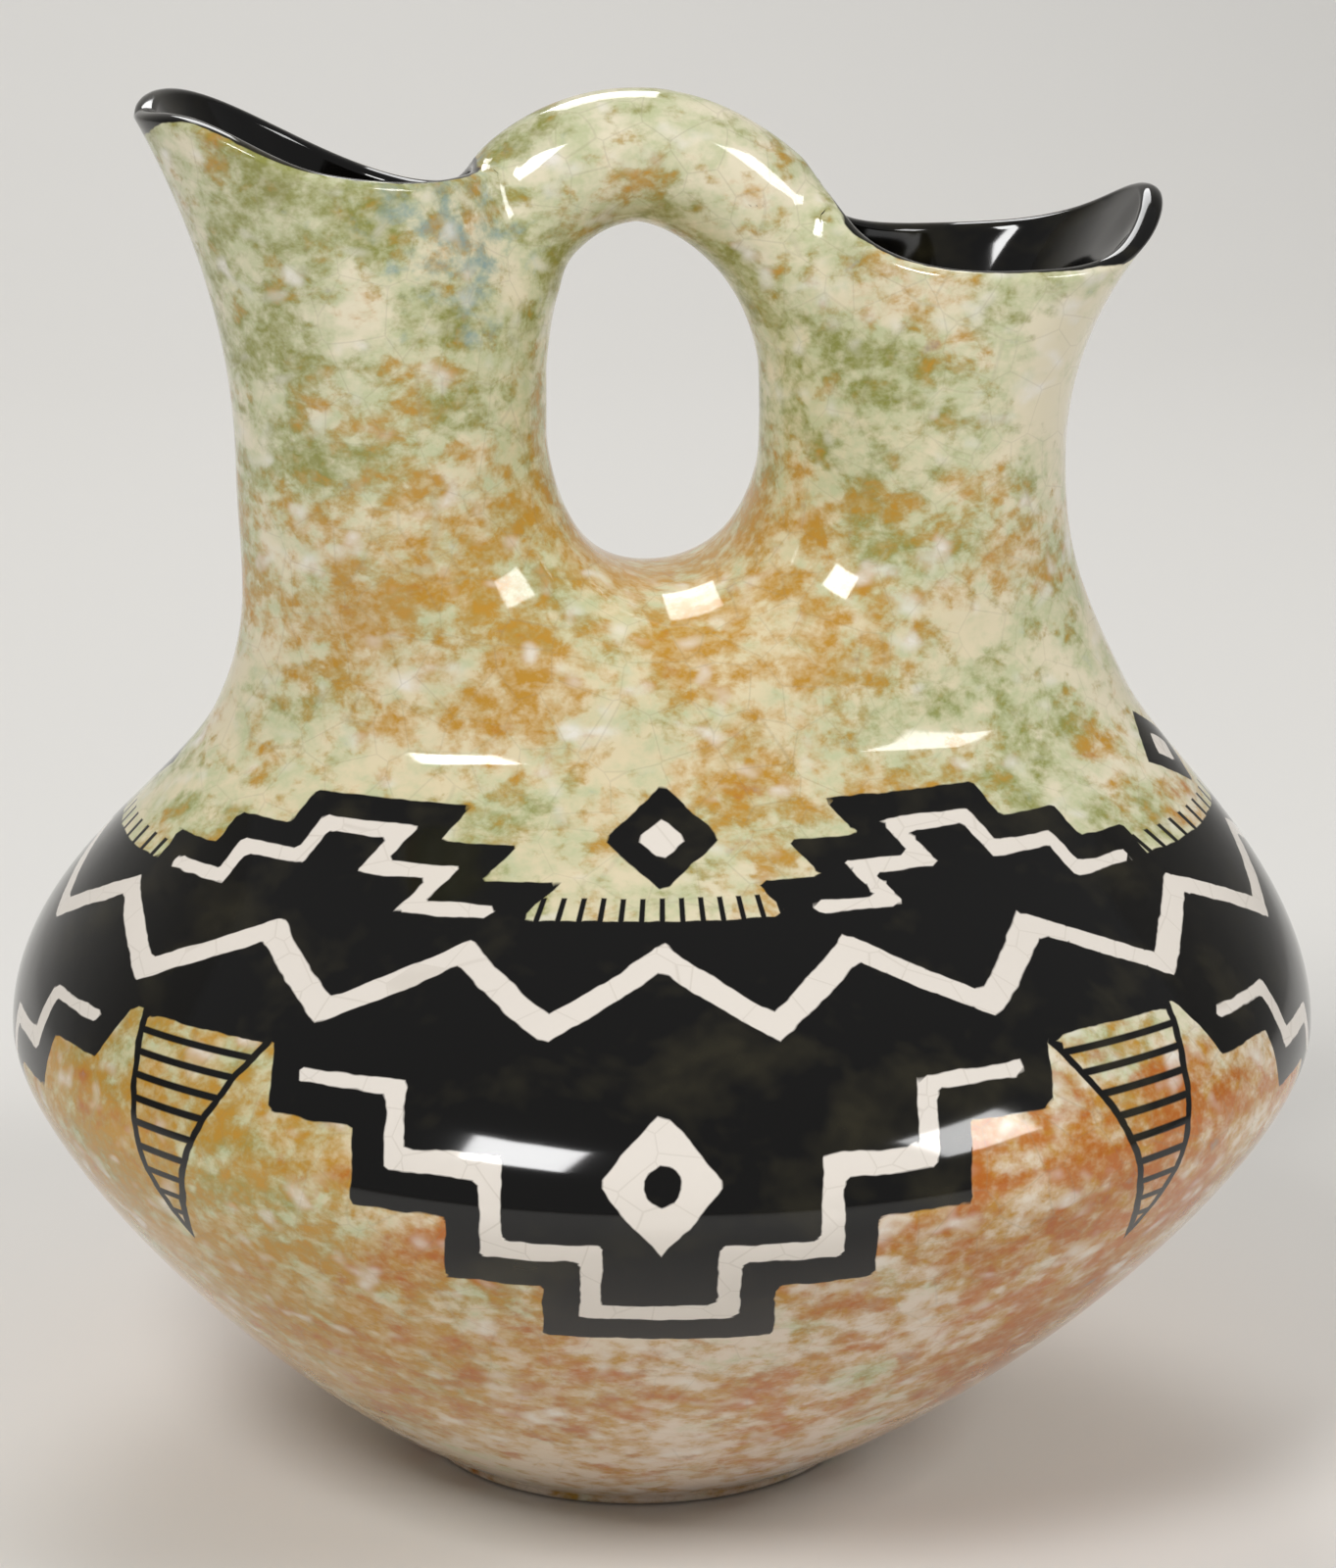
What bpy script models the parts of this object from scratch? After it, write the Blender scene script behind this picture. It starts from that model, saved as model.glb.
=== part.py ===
"""A wedding vase in fired clay: a squat belly, an oval neck, two flared spouts and a stirrup handle.

Metres, +Z up, standing on z = 0. The spouts lie along X and the front faces -Y. The potter's pieces are
separate bodies, with a thin slip joint left open between them.
"""

import math

import bmesh
import bpy
from mathutils import Matrix, Vector

MM = 0.001

# Clay and joints
WALL = 5.5 * MM
LIP_WALL = 3.6 * MM
SLIP_GAP = 0.3 * MM

# Belly: the bowl below its widest girth and the shoulder above it
BELLY_RADIUS = 100 * MM
BOWL_HEIGHT = 70 * MM
BASE_RADIUS = 32 * MM
BASE_THICKNESS = 6.5 * MM
BOWL_RISE_ANGLE = math.radians(28)
BOWL_LOWER_REACH = 38 * MM
BOWL_UPPER_REACH = 13 * MM
BOWL_LEAN = 4 * MM

# Neck: the oval where the shoulder ends and the spouts begin
SHOULDER_RISE = 49 * MM
SHOULDER_LOWER_REACH = 20 * MM
SHOULDER_UPPER_REACH = 12 * MM
NECK_HEIGHT = BOWL_HEIGHT + SHOULDER_RISE
NECK_HALF_DEPTH = 37 * MM
NECK_TAPER = 0.5

# Spouts: both rise from the neck, parted by a crotch, and narrow to a round throat
CROTCH_RISE = 19 * MM
CROTCH_SQUARENESS = 2.6
THROAT_RISE = 37 * MM
THROAT_HEIGHT = NECK_HEIGHT + THROAT_RISE
THROAT_HALF_WIDTH = 23 * MM
THROAT_HALF_DEPTH = 24.5 * MM
RIM_HALF_DEPTH = 25 * MM
SPOUT_FULLNESS = 0.4
BACK_TILT_CENTRE = 0.4

# Each spout: its side of the axis, how far out its neck, throat and rim lie, and how its lip waves
LEFT = {
    "side": -1,
    "neck": 68 * MM,
    "throat": 41 * MM,
    "rim": 51 * MM,
    "rim_half_width": 26.5 * MM,
    "lip_rise": 41 * MM,
    "tip_rise": 11 * MM,
    "tip_sharpness": 1.5,
    "root_rise": 2.5 * MM,
    "back_tilt": 15 * MM,
}
RIGHT = {
    "side": 1,
    "neck": 72 * MM,
    "throat": 38.5 * MM,
    "rim": 48 * MM,
    "rim_half_width": 27.5 * MM,
    "lip_rise": 26 * MM,
    "tip_rise": 12 * MM,
    "tip_sharpness": 2.5,
    "root_rise": 12.5 * MM,
    "back_tilt": 0 * MM,
}

# Handle: one thick coil from spout to spout
HANDLE_RADIUS = 9.8 * MM
HANDLE_RISE = 1.7 * MM
HANDLE_CROWN_SHIFT = 2.75 * MM
HANDLE_CROWN_REACH = 13 * MM
HANDLE_LEG_REACH = 24 * MM
HANDLE_FOOT_DEPTH = 12.5 * MM
HANDLE_FOOT_DROP = 34 * MM
HANDLE_FOOT_SPREAD = 1.12

# Facets
AROUND_BELLY = 56
AROUND_SPOUT = 40
BOWL_STEPS = 10
SHOULDER_STEPS = 11
RISING_STEPS = 8
FLARING_STEPS = 6
COIL_STEPS = 14
COIL_ROUNDING = 4
SHARP_ANGLE = math.radians(40)
NUDGE = 0.001
MERGE = 0.01 * MM

# Finish
GLAZE_ROUGHNESS = 0.12
CLAY_ROUGHNESS = 0.75


def clear_scene():
    """Removes what the startup scene holds."""
    for old in list(bpy.data.objects):
        bpy.data.objects.remove(old, do_unlink=True)


def collection(name):
    """A new collection in the scene."""
    made = bpy.data.collections.new(name)
    bpy.context.scene.collection.children.link(made)
    return made


def glaze(name, colour, roughness):
    """A plain ceramic material."""
    material = bpy.data.materials.new(name)
    material.use_nodes = True
    shader = material.node_tree.nodes["Principled BSDF"]
    shader.inputs["Base Color"].default_value = (*colour, 1)
    shader.inputs["Roughness"].default_value = roughness
    shader.inputs["Metallic"].default_value = 0
    return material


def place(name, mesh, home, material=None):
    """An object for a mesh, shaded smooth but for its seams and edges."""
    mesh.shade_smooth()
    mesh.set_sharp_from_angle(angle=SHARP_ANGLE)
    made = bpy.data.objects.new(name, mesh)
    home.objects.link(made)
    if material:
        mesh.materials.append(material)
    return made


def baked(source):
    """The mesh of an object with its modifiers applied. The object itself is removed."""
    bpy.context.view_layer.update()
    graph = bpy.context.evaluated_depsgraph_get()
    mesh = bpy.data.meshes.new_from_object(source.evaluated_get(graph))
    bpy.data.objects.remove(source, do_unlink=True)
    return mesh


def bezier(start, start_pull, end_pull, end, t):
    """A point on a cubic curve, as a Vector."""
    u = 1 - t
    return start * u**3 + start_pull * (3 * u * u * t) + end_pull * (3 * u * t * t) + end * t**3


def steps(count):
    """Even values from 0 to 1."""
    return [index / count for index in range(count + 1)]


def bowl_outline(t):
    """The bowl's outer profile as (radius, height), from the base's edge at t = 0 to the girth at t = 1."""
    base = Vector((BASE_RADIUS, 0))
    rise = Vector((math.cos(BOWL_RISE_ANGLE), math.sin(BOWL_RISE_ANGLE)))
    girth = Vector((BELLY_RADIUS, BOWL_HEIGHT))
    return bezier(base, base + rise * BOWL_LOWER_REACH, girth - Vector((0, BOWL_UPPER_REACH)), girth, t)


def bowl_lining(t):
    """The bowl's inner profile, one wall's thickness inside the outer one."""
    along = bowl_outline(t + NUDGE) - bowl_outline(t - NUDGE)
    return bowl_outline(t) + Vector((-along.y, along.x)).normalized() * WALL


def where_height(profile, height):
    """The t at which a rising profile passes a height."""
    low, high = 0.0, 1.0
    for _ in range(40):
        middle = (low + high) / 2
        if profile(middle).y < height:
            low = middle
        else:
            high = middle
    return low


def stretch_of(profile, bottom, top, count):
    """Points of a rising profile between two heights, from the bottom up."""
    first = where_height(profile, bottom)
    last = where_height(profile, top)
    points = [profile(first + (last - first) * t) for t in steps(count)]
    points[0].y = bottom
    points[-1].y = top
    return points


def turned(name, outline, closed):
    """The mesh of an outline of (radius, height) points turned about the Z axis."""
    mesh = bpy.data.meshes.new(name)
    edges = [(index, index + 1) for index in range(len(outline) - 1)]
    if closed:
        edges.append((len(outline) - 1, 0))
    mesh.from_pydata([(radius, 0, height) for radius, height in outline], edges, [])
    made = bpy.data.objects.new(name, mesh)
    bpy.context.scene.collection.objects.link(made)
    screw = made.modifiers.new("turn", "SCREW")
    screw.steps = AROUND_BELLY
    screw.render_steps = AROUND_BELLY
    screw.use_merge_vertices = True
    screw.merge_threshold = MERGE
    return baked(made)


def lean(made):
    """Lets a piece of the bowl lean, as hand-built ones do: its girth stays put, its base moves to -X."""
    slope = BOWL_LEAN / BOWL_HEIGHT
    made.data.transform(Matrix.Shear("XY", 4, (slope, 0)))
    made.location.x = -BOWL_LEAN


def base_disc(home):
    """The flat slab that the pot was started on."""
    edge = stretch_of(bowl_outline, 0, BASE_THICKNESS, 3)
    outline = [(0, BASE_THICKNESS)]
    outline += [tuple(point) for point in reversed(edge)]
    outline += [(0, 0)]
    mesh = turned("base_disc", outline, closed=False)
    lean(place("base_disc", mesh, home, glaze("buff clay", (0.62, 0.46, 0.31), CLAY_ROUGHNESS)))


def lower_bowl(home):
    """The bowl from the slab up to the widest girth."""
    bottom = BASE_THICKNESS + SLIP_GAP
    top = BOWL_HEIGHT - SLIP_GAP / 2
    outer = stretch_of(bowl_outline, bottom, top, BOWL_STEPS)
    inner = stretch_of(bowl_lining, bottom, top, BOWL_STEPS - 2)
    outline = [tuple(point) for point in reversed(outer)] + [tuple(point) for point in inner]
    mesh = turned("lower_bowl", outline, closed=True)
    lean(place("lower_bowl", mesh, home, glaze("ochre mottled glaze", (0.78, 0.58, 0.33), GLAZE_ROUGHNESS)))


def shell(name, rings):
    """The mesh of a wall whose rings run up its outside, over its edge and back down its inside."""
    return ring_mesh(name, rings + rings[:1], [])


def ring_mesh(name, rings, caps):
    """A closed mesh of faces between each ring and the next, with any extra faces given as caps."""
    around = len(rings[0])
    corners = [point for ring in rings for point in ring]
    faces = list(caps)
    for below in range(0, len(corners) - around, around):
        above = below + around
        for column in range(around):
            beside = (column + 1) % around
            faces.append((below + column, below + beside, above + beside, above + column))
    mesh = bpy.data.meshes.new(name)
    mesh.from_pydata(corners, [], faces)
    tidy_surface(mesh)
    return mesh


def tidy_surface(mesh):
    """Joins the points of a closed mesh that coincide, and turns every face to face out."""
    work = bmesh.new()
    work.from_mesh(mesh)
    bmesh.ops.remove_doubles(work, verts=work.verts, dist=MERGE)
    bmesh.ops.recalc_face_normals(work, faces=work.faces)
    work.to_mesh(mesh)
    work.free()


def shoulder_profile(neck_reach, t):
    """The shoulder's outer profile towards one side of the neck's oval, as (reach, height)."""
    girth = Vector((BELLY_RADIUS, BOWL_HEIGHT))
    neck = Vector((neck_reach, NECK_HEIGHT))
    girth_pull = girth + Vector((0, SHOULDER_LOWER_REACH))
    neck_pull = neck + Vector((NECK_TAPER, -1)) * SHOULDER_UPPER_REACH
    return bezier(girth, girth_pull, neck_pull, neck, t)


def shoulder_reach(neck_reach, inset, t):
    """How far the shoulder reaches towards one side, inset by a wall measured square to its surface."""
    along = shoulder_profile(neck_reach, t + NUDGE) - shoulder_profile(neck_reach, t - NUDGE)
    return shoulder_profile(neck_reach, t).x - inset * along.length / along.y


def shoulder_ring(inset, t):
    """One level of the shoulder: an oval that goes from the round belly to the long neck."""
    depth = shoulder_reach(NECK_HALF_DEPTH, inset, t)
    height = shoulder_profile(NECK_HALF_DEPTH, t).y
    height = min(max(height, BOWL_HEIGHT + SLIP_GAP / 2), NECK_HEIGHT - SLIP_GAP / 2)
    ring = []
    for index in range(AROUND_BELLY):
        turn = math.tau * index / AROUND_BELLY
        beside = RIGHT if math.cos(turn) > 0 else LEFT
        width = shoulder_reach(beside["neck"], inset, t)
        ring.append((width * math.cos(turn), depth * math.sin(turn), height))
    return ring


def shoulder(home):
    """The upper half of the belly, closing in to the oval neck."""
    outer = [shoulder_ring(0, t) for t in steps(SHOULDER_STEPS)]
    inner = [shoulder_ring(WALL, t) for t in steps(SHOULDER_STEPS - 2)]
    mesh = shell("shoulder", outer + inner[::-1])
    place("shoulder", mesh, home, glaze("sage mottled glaze", (0.66, 0.58, 0.36), GLAZE_ROUGHNESS))


def squared(wave):
    """A sine or cosine for an arch that is squarer than an ellipse."""
    return math.copysign(abs(wave) ** (2 / CROTCH_SQUARENESS), wave)


def neck_point(spout, inset, turn):
    """The foot of a spout: half of the neck's oval outside, and the arch of the crotch inside."""
    width = spout["neck"] - inset
    depth = NECK_HALF_DEPTH - inset
    foot = NECK_HEIGHT + SLIP_GAP / 2
    beside = SLIP_GAP / 2
    if math.cos(turn) >= 0:
        out = beside + (width - beside) * math.cos(turn)
        return Vector((spout["side"] * out, depth * math.sin(turn), foot))
    climb = (CROTCH_RISE - SLIP_GAP / 2 - inset) * squared(-math.cos(turn))
    across = (depth - NECK_TAPER * climb) * squared(math.sin(turn))
    return Vector((spout["side"] * beside, across, foot + climb))


def neck_heading(spout, inset, turn):
    """Which way a spout's wall leaves its foot: on from the shoulder outside, level over the crotch."""
    side = spout["side"]
    nudge = math.copysign(NUDGE, math.sin(turn))
    here = neck_point(spout, inset, turn)
    if math.cos(turn) > 0:
        up = Vector((-side * NECK_TAPER * math.cos(turn), -NECK_TAPER * math.sin(turn), 1)).normalized()
        away = (neck_point(spout, inset, turn - nudge) - here).normalized()
    else:
        up = (neck_point(spout, inset, turn + nudge) - here).normalized()
        away = Vector((side, 0, 0))
    swing = math.pi / 4 * (1 - abs(math.cos(turn)) * math.cos(turn))
    return up * math.cos(swing) + away * math.sin(swing)


def throat_point(spout, inset, turn):
    """The narrow round throat of a spout."""
    out = spout["throat"] + (THROAT_HALF_WIDTH - inset) * math.cos(turn)
    return Vector((spout["side"] * out, (THROAT_HALF_DEPTH - inset) * math.sin(turn), THROAT_HEIGHT))


def rim_height(spout, turn):
    """The wavy lip: high at the outer tip and at the handle, low between them."""
    towards_tip = (1 + math.cos(turn)) / 2
    towards_root = 1 - towards_tip
    wave = spout["tip_rise"] * towards_tip ** spout["tip_sharpness"] + spout["root_rise"] * towards_root**3
    tilt = spout["back_tilt"] * max(math.sin(turn), 0) * (BACK_TILT_CENTRE - towards_root)
    return THROAT_HEIGHT + spout["lip_rise"] + wave + tilt


def rim_point(spout, inset, turn):
    """The flared rim of a spout."""
    out = spout["rim"] + (spout["rim_half_width"] - inset) * math.cos(turn)
    depth = (RIM_HALF_DEPTH - inset) * math.sin(turn)
    return Vector((spout["side"] * out, depth, rim_height(spout, turn)))


def rising_point(spout, inset, turn, t):
    """The lower part of a spout, from the neck at t = 0 to the throat at t = 1."""
    foot = neck_point(spout, inset, turn)
    throat = throat_point(spout, inset, turn)
    pull = (throat - foot).length * SPOUT_FULLNESS
    leaving = foot + neck_heading(spout, inset, turn) * pull
    return bezier(foot, leaving, throat - Vector((0, 0, pull)), throat, t)


def flaring_point(spout, wall, lip, turn, t):
    """The upper part of a spout, from the throat at t = 0 to the rim at t = 1. It flares ever faster."""
    throat = throat_point(spout, wall, turn)
    rim = rim_point(spout, lip, turn)
    point = throat + (rim - throat) * t**2
    point.z = throat.z + (rim.z - throat.z) * t
    return point


def spout_surface(spout, wall, lip):
    """Rings of a spout's surface, from the neck up to the rim."""
    turns = [math.tau * index / AROUND_SPOUT for index in range(AROUND_SPOUT)]
    rising = [[rising_point(spout, wall, turn, t) for turn in turns] for t in steps(RISING_STEPS)]
    flaring = [[flaring_point(spout, wall, lip, turn, t) for turn in turns] for t in steps(FLARING_STEPS)]
    return rising + flaring[1:]


def lip_ring(spout):
    """The rounded top of the lip, halfway through its wall."""
    turns = [math.tau * index / AROUND_SPOUT for index in range(AROUND_SPOUT)]
    crest = Vector((0, 0, LIP_WALL / 3))
    return [rim_point(spout, LIP_WALL / 2, turn) + crest for turn in turns]


def make_spout(name, spout, home, material):
    """One spout: a tube from its half of the neck to a flared, wavy lip."""
    outer = spout_surface(spout, 0, 0)
    inner = spout_surface(spout, WALL, LIP_WALL)
    mesh = shell(name, outer + [lip_ring(spout)] + inner[::-1])
    place(name, mesh, home, material)


def spout_cutter(name, spout, home):
    """A spout filled solid, one slip gap larger all round, to seat the handle on."""
    rings = spout_surface(spout, -SLIP_GAP, -SLIP_GAP)
    collar = Vector((0, 0, HANDLE_RADIUS))
    rings.append([point + collar for point in rings[-1]])
    count = AROUND_SPOUT * len(rings)
    ends = [tuple(range(AROUND_SPOUT)), tuple(range(count - AROUND_SPOUT, count))]
    made = place(name, ring_mesh(name, rings, ends), home)
    made.hide_render = True
    made.display_type = "WIRE"
    return made


def handle_foot(spout):
    """Where the handle's centre line ends, inside a spout's inner wall."""
    out = spout["throat"] - THROAT_HALF_WIDTH + HANDLE_FOOT_DEPTH
    return Vector((spout["side"] * out, 0, rim_height(spout, math.pi) - HANDLE_FOOT_DROP))


def handle_crown():
    """The top of the handle's centre line, a little nearer to the left spout."""
    middle = (handle_foot(LEFT).x + handle_foot(RIGHT).x) / 2
    top = max(rim_height(LEFT, math.pi), rim_height(RIGHT, math.pi))
    return Vector((middle - HANDLE_CROWN_SHIFT, 0, top + HANDLE_RISE))


def handle_coil():
    """The mesh of the handle's coil, whole, with its ends still inside the spouts."""
    curve = bpy.data.curves.new("handle", "CURVE")
    curve.dimensions = "3D"
    curve.bevel_depth = HANDLE_RADIUS
    curve.bevel_resolution = COIL_ROUNDING
    curve.resolution_u = COIL_STEPS
    curve.use_fill_caps = True
    line = curve.splines.new("BEZIER")
    line.bezier_points.add(2)
    leg = Vector((0, 0, HANDLE_LEG_REACH))
    reach = Vector((HANDLE_CROWN_REACH, 0, 0))
    places = (handle_foot(LEFT), handle_crown(), handle_foot(RIGHT))
    pulls = (leg, reach, -leg)
    spreads = (HANDLE_FOOT_SPREAD, 1, HANDLE_FOOT_SPREAD)
    for knot, spot, pull, spread in zip(line.bezier_points, places, pulls, spreads):
        knot.radius = spread
        knot.co = spot
        knot.handle_left = spot - pull
        knot.handle_right = spot + pull
    made = bpy.data.objects.new("handle", curve)
    bpy.context.scene.collection.objects.link(made)
    mesh = baked(made)
    bpy.data.curves.remove(curve)
    tidy_surface(mesh)
    return mesh


def handle(home, cutters):
    """The stirrup handle, its ends shaped to seat on both spouts."""
    olive = glaze("olive mottled glaze", (0.63, 0.55, 0.30), GLAZE_ROUGHNESS)
    made = place("handle", handle_coil(), home, olive)
    for cutter in cutters:
        seat = made.modifiers.new("seat on " + cutter.name, "BOOLEAN")
        seat.operation = "DIFFERENCE"
        seat.solver = "EXACT"
        seat.object = cutter


def build():
    """Makes every piece of the vase."""
    clear_scene()
    vase = collection("wedding_vase")
    helpers = collection("cutters")
    base_disc(vase)
    lower_bowl(vase)
    shoulder(vase)
    green = glaze("green mottled glaze", (0.66, 0.61, 0.40), GLAZE_ROUGHNESS)
    pale_green = glaze("pale green mottled glaze", (0.68, 0.63, 0.43), GLAZE_ROUGHNESS)
    make_spout("left_spout", LEFT, vase, green)
    make_spout("right_spout", RIGHT, vase, pale_green)
    seats = [spout_cutter("left_seat", LEFT, helpers), spout_cutter("right_seat", RIGHT, helpers)]
    handle(vase, seats)


build()
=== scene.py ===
import functools
import math

import bpy
import numpy as np
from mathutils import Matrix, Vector
from mathutils.bvhtree import BVHTree
from mathutils.kdtree import KDTree


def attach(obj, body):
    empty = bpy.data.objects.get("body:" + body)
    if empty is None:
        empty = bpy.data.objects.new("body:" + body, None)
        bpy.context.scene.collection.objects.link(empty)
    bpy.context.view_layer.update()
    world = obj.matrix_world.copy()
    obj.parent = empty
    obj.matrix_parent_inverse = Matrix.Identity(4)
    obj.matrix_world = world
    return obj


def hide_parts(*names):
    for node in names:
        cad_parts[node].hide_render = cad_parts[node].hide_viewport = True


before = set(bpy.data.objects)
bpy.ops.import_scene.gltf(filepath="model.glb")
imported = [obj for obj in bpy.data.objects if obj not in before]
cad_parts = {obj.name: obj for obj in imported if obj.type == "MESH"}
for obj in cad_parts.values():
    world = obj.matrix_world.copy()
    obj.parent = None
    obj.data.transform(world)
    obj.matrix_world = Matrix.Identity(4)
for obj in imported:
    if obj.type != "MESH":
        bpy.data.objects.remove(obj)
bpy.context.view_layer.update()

# Every size here is in millimetres, in the frame of the clay pieces: +Z up, the front faces -Y.
MM = 0.001
WALL = 5.5
LIP_WALL = 3.6
LIP_CREST = 1.3

BELLY_RADIUS = 100.0
BOWL_HEIGHT = 70.0
BASE_RADIUS = 32.0
BASE_THICKNESS = 6.5
BOWL_RISE_ANGLE = math.radians(28)
BOWL_LOWER_REACH = 38.0
BOWL_UPPER_REACH = 13.0
BOWL_LEAN = 4.0
BOWL_LEAN_CURVE = 1.5
FOOT_ROUNDING = 1.6
SLAB_INSET = 0.3
FOOT_RING = 7.0
FOOT_HOLLOW = 1.0

SHOULDER_RISE = 49.0
SHOULDER_LOWER_REACH = 20.0
SHOULDER_UPPER_REACH = 12.0
NECK_HEIGHT = BOWL_HEIGHT + SHOULDER_RISE
NECK_HALF_DEPTH = 37.0
NECK_TAPER = 0.5

CROTCH_RISE = 19.0
CROTCH_SQUARENESS = 2.6
THROAT_HEIGHT = NECK_HEIGHT + 37.0
THROAT_HALF_WIDTH = 23.0
THROAT_HALF_DEPTH = 24.5
RIM_HALF_DEPTH = 25.0
SPOUT_FULLNESS = 0.4
BACK_TILT_CENTRE = 0.4

LEFT = {"side": -1, "neck": 68.0, "throat": 41.0, "rim": 51.0, "rim_half_width": 26.5, "lip_rise": 41.0,
        "tip_rise": 11.0, "tip_sharpness": 1.5, "root_rise": 2.5, "root_sharpness": 3.0, "back_tilt": 15.0,
        "front_swell": 2.4, "tip_black": 2.6, "tip_black_sharpness": 11.0, "inner_lift": 10.0}
RIGHT = {"side": 1, "neck": 72.0, "throat": 38.5, "rim": 48.0, "rim_half_width": 27.5, "lip_rise": 29.0,
         "tip_rise": 9.0, "tip_sharpness": 6.75, "root_rise": 9.5, "root_sharpness": 7.5, "back_tilt": 0.0,
         "front_swell": -1.0, "tip_black": 4.0, "tip_black_sharpness": 6.0, "inner_lift": 6.0}

HANDLE_RADIUS = 9.8
HANDLE_RISE = 1.7
HANDLE_CROWN_SHIFT = 2.75
HANDLE_CROWN_REACH = 13.0
HANDLE_LEG_REACH = 24.0
HANDLE_FOOT_DEPTH = 12.5
HANDLE_FOOT_DROP = 34.0
HANDLE_FOOT_SPREAD = 1.12
HANDLE_SINK = 2.2
FILLET = 9.0
LIP_FILLET = 4.0
LEG_FILLET = 4.5
FILLET_HEIGHTS = (170.0, 182.0, 196.0)
LINING_STOPS = 1.2
LINING_CLIMBS = 0.4
FILLET_MARGIN = 1.0
CAP_SHARES = (0.02, 0.35, 0.65, 0.85, 0.95)
END_ROUNDING = 4.0
BURIED = -0.6

# The handle's edges sink under the spouts' skin, and the spouts' skin draws back under the handle.
TUCK_ROWS = (0, 3, 5)
TUCKS = (0.3, 0.0, -0.03)
TUCK_REACH = (0.03, 0.15)
HIDING_ROWS = (4, 14)
HIDING_REACH = (1.5, 4.0)
DEEP_FROM = 1.0
DEEP_OVER = 2.0

# How finely the skins are drawn
AROUND = 360
BOWL_ROWS = 76
SHOULDER_ROWS = 58
RISING_ROWS = 44
FLARING_ROWS = 38
LINING_ROWS = 14
CREST_ROWS = 8
AROUND_HANDLE = 112
ALONG_HANDLE = 150
HANDLE_LINE_STEPS = 161
HANDLE_EVEN_SPACING = 0.55
TINY_STEP = 0.001
NEARLY_NONE = 1e-12

# Distances that stand for no paint nearby, for solid paint and for well below the painted band
UNPAINTED = 20.0
ALL_BLACK = -4.0
BELOW_BAND = -200.0


def bezier(start, start_pull, end_pull, end, t):
    """Points on a cubic curve."""
    u = 1 - t
    return start * u**3 + 3 * start_pull * u * u * t + 3 * end_pull * u * t * t + end * t**3


def turns_round():
    """Even angles round a ring."""
    return np.arange(AROUND) * (math.tau / AROUND)


def bowl_profile(t):
    """(radius, height) up the bowl's outside, from the base's edge to the girth."""
    radius = bezier(BASE_RADIUS, BASE_RADIUS + BOWL_LOWER_REACH * math.cos(BOWL_RISE_ANGLE),
                    BELLY_RADIUS, BELLY_RADIUS, t)
    height = bezier(0, BOWL_LOWER_REACH * math.sin(BOWL_RISE_ANGLE), BOWL_HEIGHT - BOWL_UPPER_REACH,
                    BOWL_HEIGHT, t)
    return radius, height


def bowl_lining(t):
    """(radius, height) up the bowl's inside."""
    radius, height = bowl_profile(t)
    later_radius, later_height = bowl_profile(t + TINY_STEP)
    out, up = later_radius - radius, later_height - height
    length = np.hypot(out, up)
    return radius - up / length * WALL, height + out / length * WALL


def turned(radius, height):
    """Rings of a profile turned about Z, leaning to -X towards the base as the bowl does."""
    turn = turns_round()
    lean = BOWL_LEAN * np.clip(1 - height / BOWL_HEIGHT, 0, 1) ** BOWL_LEAN_CURVE
    rings = np.empty((len(radius), AROUND, 3))
    rings[..., 0] = radius[:, None] * np.cos(turn) - lean[:, None]
    rings[..., 1] = radius[:, None] * np.sin(turn)
    rings[..., 2] = height[:, None]
    return rings


def shoulder_reach(neck, inset, t):
    """How far the shoulder reaches towards one side of the neck's oval, inset by a wall."""
    pull = neck + NECK_TAPER * SHOULDER_UPPER_REACH
    reach = bezier(BELLY_RADIUS, BELLY_RADIUS, pull, neck, t)
    later = bezier(BELLY_RADIUS, BELLY_RADIUS, pull, neck, t + TINY_STEP)
    up = shoulder_height(t + TINY_STEP) - shoulder_height(t)
    return reach - inset * np.hypot(later - reach, up) / up


def shoulder_height(t):
    """The height of a level of the shoulder."""
    return bezier(BOWL_HEIGHT, BOWL_HEIGHT + SHOULDER_LOWER_REACH, NECK_HEIGHT - SHOULDER_UPPER_REACH,
                  NECK_HEIGHT, t)


def shoulder_rings(inset, t):
    """Rings of the shoulder, from the round belly to the long neck."""
    turn = turns_round()
    left = shoulder_reach(LEFT["neck"], inset, t)[:, None]
    right = shoulder_reach(RIGHT["neck"], inset, t)[:, None]
    width = np.where(np.cos(turn) > 0, right, left)
    rings = np.empty((len(t), AROUND, 3))
    rings[..., 0] = width * np.cos(turn)
    rings[..., 1] = shoulder_reach(NECK_HALF_DEPTH, inset, t)[:, None] * np.sin(turn)
    rings[..., 2] = shoulder_height(t)[:, None]
    return rings


def squared(wave):
    """A sine or cosine for an arch that is squarer than an ellipse."""
    return np.sign(wave) * np.abs(wave) ** (2 / CROTCH_SQUARENESS)


def unit(vectors):
    """Vectors of length 1."""
    return vectors / np.maximum(np.linalg.norm(vectors, axis=-1, keepdims=True), NEARLY_NONE)


def neck_points(spout, inset, turn):
    """The foot of a spout: half of the neck's oval outside, and the arch of the crotch inside."""
    outside = np.cos(turn) >= -NEARLY_NONE
    depth = NECK_HALF_DEPTH - inset
    climb = np.where(outside, 0, (CROTCH_RISE - inset) * squared(np.maximum(-np.cos(turn), 0)))
    out = np.where(outside, (spout["neck"] - inset) * np.cos(turn), 0)
    across = np.where(outside, depth * np.sin(turn), (depth - NECK_TAPER * climb) * squared(np.sin(turn)))
    return np.stack([spout["side"] * out, across, NECK_HEIGHT + climb], -1)


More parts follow.
